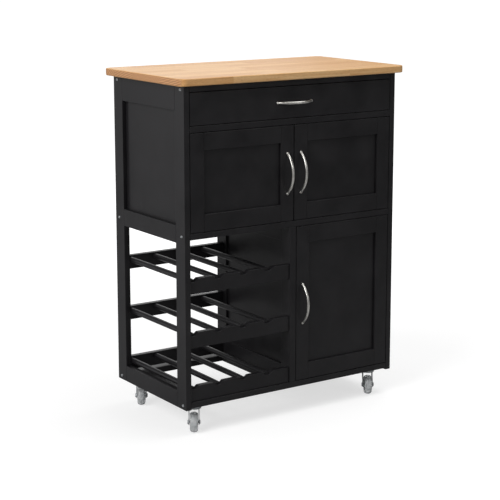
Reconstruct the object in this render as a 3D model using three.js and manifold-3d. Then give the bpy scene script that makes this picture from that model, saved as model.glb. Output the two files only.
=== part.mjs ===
// Kitchen island cart: a black cabinet on four swivel casters under an edge-glued wood worktop,
// with one drawer, a pair of upper doors, one lower door and a three-tier bottle rack.
// Millimetres, +Z up, doors facing -Y. X = 0 is the cabinet's middle, Z = 0 is the floor, and
// Y = 0 is halfway between the handles' fronts and the worktop's back edge.
import * as THREE from 'three';
import Module from 'manifold-3d';
import { mergeVertices } from 'three/addons/utils/BufferGeometryUtils.js';

const wasm = await Module();
wasm.setup();

// ---- Driving dimensions ----
// Cabinet and worktop
const cabinetWidth = 631;
const cabinetDepth = 334;
const frameHeight = 783;
const boardThickness = 15;
const fit = 0.3;
const overshoot = 1; // how far a cutter runs past the face that it opens
const topThickness = 18;
const topOverhangSides = 19.5;
const topOverhangFrontAndBack = 18;
const topCornerRadius = 20;
const topEdgeEase = 3;

// Side frames, each one glued frame with a thin panel let into its inner face
const postDepth = 42;
const sideTopRail = 60;
const sideMidRailBelowShelf = 10.5;
const sideMidRailHeight = 43;
const sideBottomRail = 41;
const sideLip = 10;
const sideRebate = 6;
const sidePanelThickness = 4;

// Levels of the boards: the bottom boards and the shelf are measured up from the frames' feet, and the
// drawer's opening down from the top board
const footHeight = 4;
const shelfBottom = 417.5;
const drawerOpening = 80.5;
const drawerRailDepth = 60;
const backSheetThickness = 4;

// Bottom boards
const bottomFrontDepth = 40;
const bottomBackDepth = 32;
const battenWidth = 60;
const bottomBoardLap = 9;

// Divider between the rack and the lower cupboard
const rackBayWidth = 290;
const dividerThickness = 18;
const dividerRecess = 6;
const dividerStile = 38;
const dividerRail = 40;

// Doors
const doorGap = 1.5;
const doorMeetingGap = 2.5;
const doorThickness = 15;
const doorStile = 38;
const doorRail = 42;
const doorLip = 6.5;
const doorRebate = 7;
const doorPanelThickness = 5;

// Drawer box
const drawerSideThickness = 12;
const drawerRunnerSpace = 12.7;
const drawerBoxHeight = 60;
const drawerBoxLift = 5;
const drawerBackClearance = 29.7;
const drawerBottomThickness = 4;
const drawerBottomLift = 6;

// Bow handles
const handleSpan = 100;
const handleRise = 28;
const handleRodRadius = 3.2;
const handleFootRadius = 4.6;
const handleFootHeight = 3;

// Bottle rack
const rackTierCount = 3;
const rackFrontRailHeight = 38;
const rackBackRailHeight = 35;
const rackBackRailLift = 6;
const rackFrontInset = 4;
const rackBackInset = 14;
const dowelCount = 4;
const dowelRadius = 7;
const dowelPitch = 72.5;
const firstDowelInset = 8.5;
const dowelHeight = 31.5;
const dowelSocketDepth = 8;
const notchTopWidth = 32;
const notchBottomWidth = 12;
const notchDepth = 8;

// Casters
const wheelRadius = 25;
const wheelWidth = 20;
const wheelTopClearance = 5.4;
const casterTrail = 17;
const plateFromSide = 1.5;
const casterFromFrontAndBack = 39;
const casterTrailAngle = -123;
const plateLength = 58;
const plateWidth = 46;
const plateThickness = 2.5;
const plateCornerRadius = 5;
const plateHoleRadius = 2.5;
const plateHoleInset = 7;
const raceRadius = 18;
const raceHeight = 7.5;
const crownThickness = 3;
const forkLegThickness = 2;
const wheelSideGap = 1.2;
const axleRadius = 3;
const axleHeadRadius = 5.5;
const legTopBehindRaceFront = 4;
const legTopAheadOfRaceBack = 6;
const eyeAroundAxleHead = 2;
const wheelHubRadius = 9;
const wheelRimRadius = 18;
const wheelDish = 2.5;
const wheelTreadEase = 2;
const axleHeadHeight = 2.6;

// ---- Places that follow from the sizes ----
const topLength = cabinetWidth + 2 * topOverhangSides;
const topDepth = cabinetDepth + 2 * topOverhangFrontAndBack;
const left = -cabinetWidth / 2;
const right = cabinetWidth / 2;
const front = (handleRise - topOverhangFrontAndBack - cabinetDepth) / 2;
const back = front + cabinetDepth;

const crownUnder = 2 * wheelRadius + wheelTopClearance;
const crownTop = crownUnder + crownThickness;
const plateTop = crownTop + fit + raceHeight + plateThickness;
const bottomUnder = plateTop + fit;
const foot = bottomUnder - footHeight;
const frameTop = foot + frameHeight;

const innerLeft = left + boardThickness;
const innerRight = right - boardThickness;
const boardLeft = innerLeft + fit;
const boardRight = innerRight - fit;
const boardBack = back - backSheetThickness - fit;

const bottomTop = bottomUnder + boardThickness;
const shelfUnder = foot + shelfBottom;
const shelfTop = shelfUnder + boardThickness;
const topBoardUnder = frameTop - boardThickness;
const drawerRailTop = topBoardUnder - drawerOpening;
const drawerRailUnder = drawerRailTop - boardThickness;

const dividerLeft = innerLeft + rackBayWidth;
const dividerRight = dividerLeft + dividerThickness;
const bottomBoardLeft = dividerLeft - bottomBoardLap;
const rackTierPitch = (shelfUnder - bottomTop) / rackTierCount;
const sideMidRailBottom = shelfBottom - sideMidRailBelowShelf;
const casterFromSide = boardThickness + plateFromSide + plateLength / 2;

// ---- Finishes ----
const blackPaint = { color: 0x1c1c1d, roughness: 0.45, metalness: 0 };
const rubberwood = { color: 0xd9a66b, roughness: 0.5, metalness: 0 };
const drawerBirch = { color: 0xd8c3a0, roughness: 0.6, metalness: 0 };
const satinNickel = { color: 0xc9c9c8, roughness: 0.25, metalness: 1 };
const zincSteel = { color: 0xb9bcc0, roughness: 0.35, metalness: 1 };
const clearPlastic = { color: 0xb4b8ba, roughness: 0.25, metalness: 0 };

// ---- Helpers ----

// A closed geometry as a manifold solid.
function toSolid(geometry) {
  const bare = geometry.clone();
  bare.deleteAttribute('normal');
  bare.deleteAttribute('uv');
  const merged = mergeVertices(bare, 1e-4);
  return new wasm.Manifold(new wasm.Mesh({
    numProp: 3,
    vertProperties: new Float32Array(merged.attributes.position.array),
    triVerts: new Uint32Array(merged.index.array),
  }));
}

// A manifold solid as a geometry.
function toGeometry(solid) {
  const mesh = solid.getMesh();
  const geometry = new THREE.BufferGeometry();
  geometry.setAttribute('position', new THREE.BufferAttribute(mesh.vertProperties, mesh.numProp));
  geometry.setIndex(new THREE.BufferAttribute(mesh.triVerts, 1));
  geometry.computeVertexNormals();
  return geometry;
}

function union(geometries) {
  return toGeometry(geometries.map(toSolid).reduce((sum, solid) => sum.add(solid)));
}

function subtract(geometry, cutters) {
  return toGeometry(cutters.map(toSolid).reduce((sum, solid) => sum.subtract(solid), toSolid(geometry)));
}

function mesh(name, geometry, finish) {
  const piece = new THREE.Mesh(geometry, new THREE.MeshStandardMaterial(finish));
  piece.name = name;
  return piece;
}

function group(children) {
  const holder = new THREE.Group();
  holder.add(...children);
  return holder;
}

// A square-edged board between two corners.
function board(name, low, high, finish = blackPaint) {
  const size = high.map((value, i) => value - low[i]);
  const piece = mesh(name, new THREE.BoxGeometry(...size), finish);
  piece.position.set(...low.map((value, i) => value + size[i] / 2));
  return piece;
}

// A cylinder that stands on z = base.
function upright(radius, height, base, segments) {
  const cylinder = new THREE.CylinderGeometry(radius, radius, height, segments);
  return cylinder.rotateX(Math.PI / 2).translate(0, 0, base + height / 2);
}

function rectangle(x0, y0, x1, y1, Kind = THREE.Shape) {
  return new Kind([[x0, y0], [x1, y0], [x1, y1], [x0, y1]].map(([x, y]) => new THREE.Vector2(x, y)));
}

function roundedRectangle(width, height, radius) {
  const x = width / 2 - radius;
  const y = height / 2 - radius;
  const shape = new THREE.Shape();
  shape.absarc(x, y, radius, 0, Math.PI / 2);
  shape.absarc(-x, y, radius, Math.PI / 2, Math.PI);
  shape.absarc(-x, -y, radius, Math.PI, 1.5 * Math.PI);
  shape.absarc(x, -y, radius, 1.5 * Math.PI, 2 * Math.PI);
  return shape;
}

function layer(shape, from, thickness, curveSegments = 6) {
  const geometry = new THREE.ExtrudeGeometry(shape, { depth: thickness, bevelEnabled: false, curveSegments });
  return geometry.translate(0, 0, from);
}

// A rectangle from y = 0 up to the height, centred on x, with window openings between two heights.
function windowed(width, height, stile, windows) {
  const shape = rectangle(-width / 2, 0, width / 2, height);
  for (const [low, high] of windows) {
    shape.holes.push(rectangle(stile - width / 2, low, width / 2 - stile, high, THREE.Path));
  }
  return shape;
}

// A stile-and-rail frame. Its show face is z = 0 and its thickness runs to +z. Behind the lip, each
// window in `rebates` is wider, so that a panel can lie in it.
function rebatedFrame(width, height, thickness, stile, lip, windows, rebates, rebateDepth) {
  return union([
    layer(windowed(width, height, stile, windows), 0, lip),
    layer(windowed(width, height, stile - rebateDepth, rebates), lip, thickness - lip),
  ]);
}

// Turns a flat piece whose show face is z = 0, so that the face looks to the left, front or right.
const quarterTurns = { left: 1, front: 2, right: 3 };
function face(object, side, x, y, z) {
  object.rotation.set(Math.PI / 2, 0, quarterTurns[side] * Math.PI / 2, 'ZXY');
  object.position.set(x, y, z);
  return object;
}

// ---- Worktop ----
function worktop() {
  const outline = roundedRectangle(topLength - 2 * topEdgeEase, topDepth - 2 * topEdgeEase,
    topCornerRadius - topEdgeEase);
  const slab = new THREE.ExtrudeGeometry(outline, {
    depth: topThickness - 2 * topEdgeEase,
    bevelEnabled: true,
    bevelThickness: topEdgeEase,
    bevelSize: topEdgeEase,
    bevelSegments: 2,
    curveSegments: 4,
  });
  const piece = mesh('tabletop', slab, rubberwood);
  piece.position.set(0, (front + back) / 2, frameTop + fit + topEdgeEase);
  return piece;
}

// ---- Side frames ----
function sideFrame(name, openBelow) {
  const midRailTop = sideMidRailBottom + sideMidRailHeight;
  const topRailBottom = frameHeight - sideTopRail;
  const upper = [midRailTop, topRailBottom];
  const lower = [sideBottomRail, sideMidRailBottom];
  const upperRebate = [upper[0] - sideRebate, upper[1] + sideRebate];
  const bothRebate = [lower[0] - sideRebate, upper[1] + sideRebate];
  if (!openBelow) {
    return mesh(name, rebatedFrame(cabinetDepth, frameHeight, boardThickness, postDepth, sideLip,
      [lower, upper], [bothRebate], sideRebate), blackPaint);
  }
  const withoutLower = rebatedFrame(cabinetDepth, frameHeight, boardThickness, postDepth, sideLip,
    [upper], [upperRebate], sideRebate);
  const halfWindow = cabinetDepth / 2 - postDepth;
  const lowerWindow = rectangle(-halfWindow, lower[0], halfWindow, lower[1]);
  const cutter = layer(lowerWindow, -overshoot, boardThickness + 2 * overshoot);
  return mesh(name, subtract(withoutLower, [cutter]), blackPaint);
}

function sidePanel(name, low, high) {
  const width = cabinetDepth - 2 * (postDepth - sideRebate) - 2 * fit;
  const sheet = rectangle(-width / 2, low - sideRebate + fit, width / 2, high + sideRebate - fit);
  return mesh(name, layer(sheet, sideLip + fit, sidePanelThickness), blackPaint);
}

function sides() {
  const middle = (front + back) / 2;
  const panelTop = frameHeight - sideTopRail;
  const leftSide = group([
    sideFrame('left_side_frame', true),
    sidePanel('left_side_panel', sideMidRailBottom + sideMidRailHeight, panelTop),
  ]);
  const rightSide = group([
    sideFrame('right_side_frame', false),
    sidePanel('right_side_panel', sideBottomRail, panelTop),
  ]);
  return group([face(leftSide, 'left', left, middle, foot), face(rightSide, 'right', right, middle, foot)]);
}

// ---- Boards between the side frames ----
function carcassBoards() {
  const across = (name, from, to, under) => board(name, [boardLeft, from, under],
    [boardRight, to, under + boardThickness]);
  const middleFront = front + bottomFrontDepth + fit;
  const middleBack = boardBack - bottomBackDepth - fit;
  const backSheetFront = back - backSheetThickness;
  return group([
    across('top_board', front, boardBack, topBoardUnder),
    across('drawer_rail', front, front + drawerRailDepth, drawerRailUnder),
    across('mid_shelf', front, boardBack, shelfUnder),
    across('bottom_front_rail', front, front + bottomFrontDepth, bottomUnder),
    across('bottom_back_rail', boardBack - bottomBackDepth, boardBack, bottomUnder),
    board('bottom_left_batten', [boardLeft, middleFront, bottomUnder],
      [boardLeft + battenWidth, middleBack, bottomTop]),
    board('bottom_board', [bottomBoardLeft, middleFront, bottomUnder], [boardRight, middleBack, bottomTop]),
    board('upper_back_panel', [boardLeft, backSheetFront, shelfUnder], [boardRight, back, frameTop]),
    board('lower_back_panel', [dividerLeft, backSheetFront, bottomUnder],
      [boardRight, back, shelfUnder - fit]),
  ]);
}

// The divider is recessed on both faces, which leaves a web between its stiles and rails.
function divider() {
  const width = boardBack - front;
  const height = shelfUnder - bottomTop - 2 * fit;
  const window = [[dividerRail, height - dividerRail]];
  const ring = windowed(width, height, dividerStile, window);
  const web = dividerThickness - 2 * dividerRecess;
  const slab = union([
    layer(ring, 0, dividerRecess),
    layer(windowed(width, height, dividerStile, []), dividerRecess, web),
    layer(ring, dividerRecess + web, dividerRecess),
  ]);
  const middle = (front + boardBack) / 2;
  return face(mesh('divider', slab, blackPaint), 'left', dividerLeft, middle, bottomTop + fit);
}

// ---- Doors, drawer and their handles ----

// A bow handle lies along x on the plane z = 0 and stands out to -z.
function bowHandle(name, finish = satinNickel) {
  const rise = handleRise - handleRodRadius;
  const halfSpan = handleSpan / 2;
  const bowRadius = (halfSpan ** 2 + rise ** 2) / (2 * rise);
  const halfAngle = Math.asin(halfSpan / bowRadius);
  class Bow extends THREE.Curve {
    getPoint(t, target = new THREE.Vector3()) {
      const angle = (2 * t - 1) * halfAngle;
      return target.set(bowRadius * Math.sin(angle), 0, bowRadius - rise - bowRadius * Math.cos(angle));
    }
  }
  const section = new THREE.Shape().absarc(0, 0, handleRodRadius, 0, 2 * Math.PI);
  const rod = new THREE.ExtrudeGeometry(section, { steps: 16, extrudePath: new Bow(), curveSegments: 6 });
  const feet = [-halfSpan, halfSpan].map((x) => upright(handleFootRadius, handleFootHeight,
    -handleFootHeight - fit, 10).translate(x, 0, 0));
  const behind = new THREE.BoxGeometry(2 * handleSpan, handleSpan, handleSpan);
  behind.translate(0, 0, handleSpan / 2 - fit);
  return mesh(name, subtract(union([rod, ...feet]), [behind]), finish);
}

// A door between two x and two z values. The handle stands on one stile, at the door's half height.
function door(name, x0, x1, z0, z1, handleSide) {
  const width = x1 - x0;
  const height = z1 - z0;
  const window = [doorRail, height - doorRail];
  const rebate = [window[0] - doorRebate, window[1] + doorRebate];
  const frame = rebatedFrame(width, height, doorThickness, doorStile, doorLip, [window], [rebate],
    doorRebate);
  const panelHalf = width / 2 - doorStile + doorRebate - fit;
  const sheet = rectangle(-panelHalf, rebate[0] + fit, panelHalf, rebate[1] - fit);
  const handle = bowHandle(`${name}_handle`);
  const stileMiddle = width / 2 - doorStile / 2;
  handle.rotation.z = Math.PI / 2;
  handle.position.set(handleSide === 'right' ? -stileMiddle : stileMiddle, height / 2, 0);
  const leaf = group([
    mesh(`${name}_frame`, frame, blackPaint),
    mesh(`${name}_panel`, layer(sheet, doorLip + fit, doorPanelThickness), blackPaint),
    handle,
  ]);
  return face(leaf, 'front', (x0 + x1) / 2, front, z0);
}

function doors() {
  const upperLow = shelfTop + doorGap;
  const upperHigh = drawerRailUnder - doorGap;
  const lowerLow = bottomTop + doorGap;
  const lowerHigh = shelfUnder - doorGap;
  const leftHinge = innerLeft + doorGap;
  const rightHinge = innerRight - doorGap;
  const meeting = doorMeetingGap / 2;
  return group([
    door('upper_left_door', leftHinge, -meeting, upperLow, upperHigh, 'right'),
    door('upper_right_door', meeting, rightHinge, upperLow, upperHigh, 'left'),
    door('lower_door', dividerRight + doorGap, rightHinge, lowerLow, lowerHigh, 'left'),
  ]);
}

function drawer() {
  const low = drawerRailTop + doorGap;
  const high = topBoardUnder - doorGap;
  const boxFront = front + doorThickness + fit;
  const boxBack = back - backSheetThickness - drawerBackClearance;
  const boxLeft = innerLeft + drawerRunnerSpace;
  const boxRight = innerRight - drawerRunnerSpace;
  const boxLow = low + drawerBoxLift;
  const boxHigh = boxLow + drawerBoxHeight;
  const insideLeft = boxLeft + drawerSideThickness + fit;
  const insideRight = boxRight - drawerSideThickness - fit;
  const bottomLow = boxLow + drawerBottomLift;
  const handle = face(bowHandle('drawer_handle'), 'front', 0, front, (low + high) / 2);
  return group([
    board('drawer_front', [innerLeft + doorGap, front, low],
      [innerRight - doorGap, front + doorThickness, high]),
    board('drawer_left_side', [boxLeft, boxFront, boxLow],
      [boxLeft + drawerSideThickness, boxBack, boxHigh], drawerBirch),
    board('drawer_right_side', [boxRight - drawerSideThickness, boxFront, boxLow],
      [boxRight, boxBack, boxHigh], drawerBirch),
    board('drawer_back', [insideLeft, boxBack - drawerSideThickness, boxLow],
      [insideRight, boxBack, boxHigh], drawerBirch),
    board('drawer_bottom', [insideLeft, boxFront, bottomLow],
      [insideRight, boxBack - drawerSideThickness - fit, bottomLow + drawerBottomThickness], drawerBirch),
    handle,
  ]);
}

// ---- Bottle rack ----

// The dowels' places along a rail.
function dowelStations() {
  return Array.from({ length: dowelCount }, (_, i) => firstDowelInset - fit + i * dowelPitch);
}

// Blind sockets for a row of dowels, from z = base upwards.
function dowelSockets(height, base) {
  const socket = upright(dowelRadius + fit, dowelSocketDepth + fit + overshoot, base, 16);
  return dowelStations().map((x) => socket.clone().translate(x, height, 0));
}

// The notches above the sockets, which leave the dowels' front ends open to view.
function dowelNotches() {
  const slope = (notchTopWidth - notchBottomWidth) / 2 / notchDepth;
  const halfMouth = notchTopWidth / 2 + slope * overshoot;
  const outline = new THREE.Shape([
    [-notchBottomWidth / 2, -notchDepth], [notchBottomWidth / 2, -notchDepth],
    [halfMouth, overshoot], [-halfMouth, overshoot],
  ].map(([u, v]) => new THREE.Vector2(u, rackFrontRailHeight + v)));
  const notch = layer(outline, -overshoot, boardThickness + 2 * overshoot);
  return dowelStations().map((x) => notch.clone().translate(x, 0, 0));
}

// A rail between the left side frame and the divider, its cutters given in its own plane. The rail
// is turned over so that it can be laid with its length towards +X.
function rackRail(name, height, cutters) {
  const length = dividerLeft - innerLeft - 2 * fit;
  const flat = subtract(layer(rectangle(0, 0, length, height), 0, boardThickness), cutters);
  flat.scale(-1, 1, 1);
  flat.setIndex([...flat.index.array].reverse());
  flat.computeVertexNormals();
  return mesh(name, flat, blackPaint);
}

function rack() {
  const pieces = [];
  const frontRailFace = front + rackFrontInset;
  const backRailFace = back - rackBackInset - boardThickness;
  const dowelFront = frontRailFace + boardThickness - dowelSocketDepth;
  const dowelLength = backRailFace + dowelSocketDepth - dowelFront;
  for (let tier = 0; tier < rackTierCount; tier += 1) {
    const z = bottomTop + fit + tier * rackTierPitch;
    const frontRail = rackRail(`rack_${tier + 1}_front_rail`, rackFrontRailHeight, [
      ...dowelNotches(), ...dowelSockets(dowelHeight, boardThickness - dowelSocketDepth - fit)]);
    const backRail = rackRail(`rack_${tier + 1}_back_rail`, rackBackRailHeight,
      dowelSockets(dowelHeight - rackBackRailLift, -overshoot));
    pieces.push(face(frontRail, 'front', boardLeft, frontRailFace, z));
    pieces.push(face(backRail, 'front', boardLeft, backRailFace, z + rackBackRailLift));
    for (let i = 0; i < dowelCount; i += 1) {
      const dowel = upright(dowelRadius, dowelLength, 0, 16);
      pieces.push(face(mesh(`rack_${tier + 1}_dowel_${i + 1}`, dowel, blackPaint), 'front',
        innerLeft + firstDowelInset + i * dowelPitch, dowelFront, z + dowelHeight));
    }
  }
  return group(pieces);
}

// ---- Casters ----

// The plate with its fixed race. The kingpin's axis is z, and z = 0 is the plate's upper face.
function casterPlate(name) {
  const shape = roundedRectangle(plateLength, plateWidth, plateCornerRadius);
  for (const x of [-1, 1]) {
    for (const y of [-1, 1]) {
      const hole = new THREE.Path();
      hole.absarc(x * (plateLength / 2 - plateHoleInset), y * (plateWidth / 2 - plateHoleInset),
        plateHoleRadius, 0, 2 * Math.PI, true);
      shape.holes.push(hole);
    }
  }
  const plate = layer(shape, -plateThickness, plateThickness, 3);
  const race = upright(raceRadius, raceHeight + plateThickness / 2, -plateThickness - raceHeight, 24);
  return mesh(name, union([plate, race]), zincSteel);
}

// The fork trails to +x, and z = 0 is the floor.
function casterFork(name) {
  const legInside = wheelWidth / 2 + wheelSideGap;
  const eyeRadius = axleHeadRadius + eyeAroundAxleHead;
  const leg = new THREE.Shape();
  leg.moveTo(raceRadius - legTopBehindRaceFront, crownTop);
  leg.lineTo(legTopAheadOfRaceBack - raceRadius, crownTop);
  leg.lineTo(legTopAheadOfRaceBack - raceRadius, crownUnder);
  leg.lineTo(casterTrail - eyeRadius, wheelRadius);
  leg.absarc(casterTrail, wheelRadius, eyeRadius, Math.PI, 2 * Math.PI);
  leg.lineTo(casterTrail + eyeRadius, wheelRadius);
  const legs = [legInside + forkLegThickness, -legInside].map((y) => layer(leg, 0, forkLegThickness, 5)
    .rotateX(Math.PI / 2).translate(0, y, 0));
  const outside = legInside + forkLegThickness;
  const axle = upright(axleRadius, 2 * outside, -outside, 16);
  const headBase = [-outside - axleHeadHeight, outside];
  const heads = headBase.map((z) => upright(axleHeadRadius, axleHeadHeight, z, 6));
  const cross = [axle, ...heads];
  cross.forEach((rod) => rod.rotateX(Math.PI / 2).translate(casterTrail, 0, wheelRadius));
  const disc = upright(raceRadius, crownThickness, crownUnder, 24);
  return mesh(name, union([disc, ...legs, ...cross]), zincSteel);
}

// The wheel's axis is y, with a tread that is crowned at its edges and a bore for the axle.
function casterWheel(name) {
  const half = wheelWidth / 2;
  const bore = axleRadius + fit;
  const crown = wheelRadius - wheelTreadEase;
  const dishInner = wheelHubRadius + wheelDish;
  const dishOuter = wheelRimRadius - wheelDish;
  const profile = [
    [bore, -half], [wheelHubRadius, -half], [dishInner, wheelDish - half], [dishOuter, wheelDish - half],
    [wheelRimRadius, -half], [crown, -half], [wheelRadius, 2 * wheelTreadEase - half],
    [wheelRadius, half - 2 * wheelTreadEase], [crown, half],
    [wheelRimRadius, half], [dishOuter, half - wheelDish], [dishInner, half - wheelDish],
    [wheelHubRadius, half], [bore, half], [bore, -half],
  ].map(([r, y]) => new THREE.Vector2(r, y));
  return mesh(name, new THREE.LatheGeometry(profile, 24), clearPlastic);
}

function casters() {
  const places = {
    front_left: [left + casterFromSide, front + casterFromFrontAndBack],
    front_right: [right - casterFromSide, front + casterFromFrontAndBack],
    back_left: [left + casterFromSide, back - casterFromFrontAndBack],
    back_right: [right - casterFromSide, back - casterFromFrontAndBack],
  };
  return group(Object.entries(places).map(([corner, [x, y]]) => {
    const plate = casterPlate(`${corner}_caster_plate`);
    plate.position.z = plateTop;
    const wheel = casterWheel(`${corner}_wheel`);
    wheel.position.set(casterTrail, 0, wheelRadius);
    const swivel = group([casterFork(`${corner}_caster_fork`), wheel]);
    swivel.rotation.z = THREE.MathUtils.degToRad(casterTrailAngle);
    const caster = group([plate, swivel]);
    caster.position.set(x, y, 0);
    return caster;
  }));
}

const cart = group([worktop(), sides(), carcassBoards(), divider(), doors(), drawer(), rack(), casters()]);

export default cart;
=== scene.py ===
"""A rolling kitchen island cart: wood worktop, drawer, three framed doors, open bottle rack and four casters.

Every board, rail and fitting is its own solid, in metres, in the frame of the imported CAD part.
"""

import logging
import math
from dataclasses import dataclass
from enum import Enum
from typing import Iterable, Sequence

import bmesh
import bpy
from mathutils import Matrix, Vector


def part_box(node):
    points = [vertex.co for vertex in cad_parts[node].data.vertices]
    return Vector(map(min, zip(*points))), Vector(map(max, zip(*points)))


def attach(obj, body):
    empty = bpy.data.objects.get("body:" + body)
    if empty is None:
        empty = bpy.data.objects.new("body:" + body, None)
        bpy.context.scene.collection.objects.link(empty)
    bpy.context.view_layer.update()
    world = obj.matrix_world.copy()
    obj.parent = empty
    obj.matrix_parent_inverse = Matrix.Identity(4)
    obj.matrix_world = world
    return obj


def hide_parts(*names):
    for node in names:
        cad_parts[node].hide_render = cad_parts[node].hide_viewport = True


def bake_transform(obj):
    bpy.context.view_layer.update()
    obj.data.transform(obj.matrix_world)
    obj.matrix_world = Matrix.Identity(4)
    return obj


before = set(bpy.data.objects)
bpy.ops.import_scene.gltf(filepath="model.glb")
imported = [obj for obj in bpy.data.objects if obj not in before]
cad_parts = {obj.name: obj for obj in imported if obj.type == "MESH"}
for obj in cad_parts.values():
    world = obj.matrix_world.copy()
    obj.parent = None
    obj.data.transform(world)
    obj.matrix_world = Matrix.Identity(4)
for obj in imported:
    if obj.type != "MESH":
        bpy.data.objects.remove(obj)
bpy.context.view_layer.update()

log = logging.getLogger("island_cart")
MM = 0.001
SHEET_EASE = 0.3 * MM
Point = tuple[float, float, float]
Flat = tuple[float, float]
Notches = dict[tuple[int, int], Flat]
PLAIN: Notches = {}


class Body(str, Enum):
    """The bodies that a piece can ride on, apart from the casters' own."""

    CABINET = "cabinet"
    DRAWER = "drawer"
    UPPER_LEFT_DOOR = "upper_left_door"
    UPPER_RIGHT_DOOR = "upper_right_door"
    LOWER_DOOR = "lower_door"


class Slot(str, Enum):
    """The record's material slots."""

    BLACK_PAINT = "black_paint"
    WORKTOP_WOOD = "worktop_wood"
    DRAWER_BIRCH = "drawer_birch"
    SATIN_NICKEL = "satin_nickel"
    ZINC_STEEL = "zinc_steel"
    WHEEL_PLASTIC = "wheel_plastic"


class Axis(Enum):
    """The direction that a bar runs in."""

    X = 0
    Y = 1
    Z = 2


class Side(Enum):
    """The left or the right of the cart, seen from the front."""

    LEFT = -1
    RIGHT = 1


# ---- Node building ----
def linear(hex_colour: str) -> tuple[float, float, float, float]:
    """Turns an sRGB hex colour into linear red, green, blue and alpha.

    Args:
        hex_colour: six hex digits, such as "e8c49a".

    Returns:
        The four linear values.
    """
    channels = [int(hex_colour[i:i + 2], 16) / 255 for i in (0, 2, 4)]
    red, green, blue = (c / 12.92 if c <= 0.04045 else ((c + 0.055) / 1.055) ** 2.4 for c in channels)
    return red, green, blue, 1.0


def add_node(tree: bpy.types.NodeTree, kind: str, inputs: dict | None = None,
             stops: Sequence[tuple[float, str]] = (), **settings: object) -> bpy.types.Node:
    """Adds one node with its settings, values and links.

    Args:
        tree: the tree that gets the node.
        kind: the node's type name.
        inputs: for an input's name or number, its value or the socket that feeds it.
        stops: for a colour ramp, each stop's position and sRGB hex colour, in order.
        settings: the node's own properties.

    Returns:
        The new node.
    """
    node = tree.nodes.new(kind)
    for key, value in settings.items():
        setattr(node, key, value)
    for key, value in (inputs or {}).items():
        if isinstance(value, bpy.types.NodeSocket):
            tree.links.new(value, node.inputs[key])
        else:
            node.inputs[key].default_value = value
    if stops:
        elements = node.color_ramp.elements
        while len(elements) < len(stops):
            elements.new(0.5)
        for element, (position, colour) in zip(elements, stops):
            element.position, element.color = position, linear(colour)
    return node


# ---- Finishes ----
@dataclass(frozen=True)
class Finish:
    """A surface finish, with the record's slot that it belongs to."""

    name: str
    slot: Slot

    def material(self) -> bpy.types.Material:
        """Returns the finish's material, built once."""
        found = bpy.data.materials.get(self.name)
        if found:
            return found
        made = bpy.data.materials.new(self.name)
        made.use_nodes = True
        tree = made.node_tree
        place = add_node(tree, "ShaderNodeTexCoord")
        self.dress(tree, tree.nodes["Principled BSDF"], place)
        return made

    def dress(self, tree: bpy.types.NodeTree, shader: bpy.types.Node, place: bpy.types.Node) -> None:
        """Builds the finish's nodes.

        Args:
            tree: the material's node tree.
            shader: its Principled BSDF.
            place: its Texture Coordinate node.
        """
        raise NotImplementedError


@dataclass(frozen=True)
class SprayedPaint(Finish):
    """Black satin lacquer sprayed on solid wood: nearly flat, with a soft sheen and a faint orange peel."""

    colour: str = "1b1a1c"
    worn_colour: str = "242325"
    roughness: float = 0.36
    sheen: float = 0.28
    orange_peel: float = 2.2 * MM
    blotch: float = 60 * MM
    grain_length: float = 40 * MM

    def dress(self, tree: bpy.types.NodeTree, shader: bpy.types.Node, place: bpy.types.Node) -> None:
        """Builds the finish's nodes.

        Args:
            tree: the material's node tree.
            shader: its Principled BSDF.
            place: its Texture Coordinate node.
        """
        spot = place.outputs["Object"]
        # Sprayed coats vary in gloss by a hand's width and hardly at all in colour.
        blotches = add_node(tree, "ShaderNodeTexNoise", {"Vector": spot, "Scale": 1 / self.blotch, "Detail": 3.0})
        tone = add_node(tree, "ShaderNodeValToRGB", {0: blotches.outputs[0]}, [
            (0.3, self.colour), (0.75, self.worn_colour)]).outputs[0]
        gloss = add_node(tree, "ShaderNodeMapRange", {
            0: blotches.outputs[0], 1: 0.3, 2: 0.7, 3: self.roughness - 0.04, 4: self.roughness + 0.07})
        # The droplets' orange peel is drawn at 2.2 mm, a little coarser than real, so that it shows.
        peel = add_node(tree, "ShaderNodeTexNoise", {"Vector": spot, "Scale": 1 / self.orange_peel, "Detail": 1.0})
        # The wood's grain sinks in under the coat by a few hundredths of a millimetre.
        stretch = add_node(tree, "ShaderNodeMapping", {
            "Vector": spot, "Scale": (1 / self.grain_length, 1 / self.grain_length, 0.3 / self.grain_length)})
        sunk = add_node(tree, "ShaderNodeTexNoise", {"Vector": stretch.outputs[0], "Scale": 14.0, "Detail": 4.0})
        relief = add_node(tree, "ShaderNodeBump", {
            "Height": peel.outputs[0], "Strength": 0.05, "Distance": 0.4 * MM})
        relief = add_node(tree, "ShaderNodeBump", {
            "Height": sunk.outputs[0], "Strength": 0.05, "Distance": 0.5 * MM, "Normal": relief.outputs[0]})
        tree.links.new(tone, shader.inputs["Base Color"])
        tree.links.new(gloss.outputs[0], shader.inputs["Roughness"])
        tree.links.new(relief.outputs[0], shader.inputs["Normal"])
        shader.inputs["IOR"].default_value = 1.5
        shader.inputs["Specular IOR Level"].default_value = self.sheen


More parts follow.
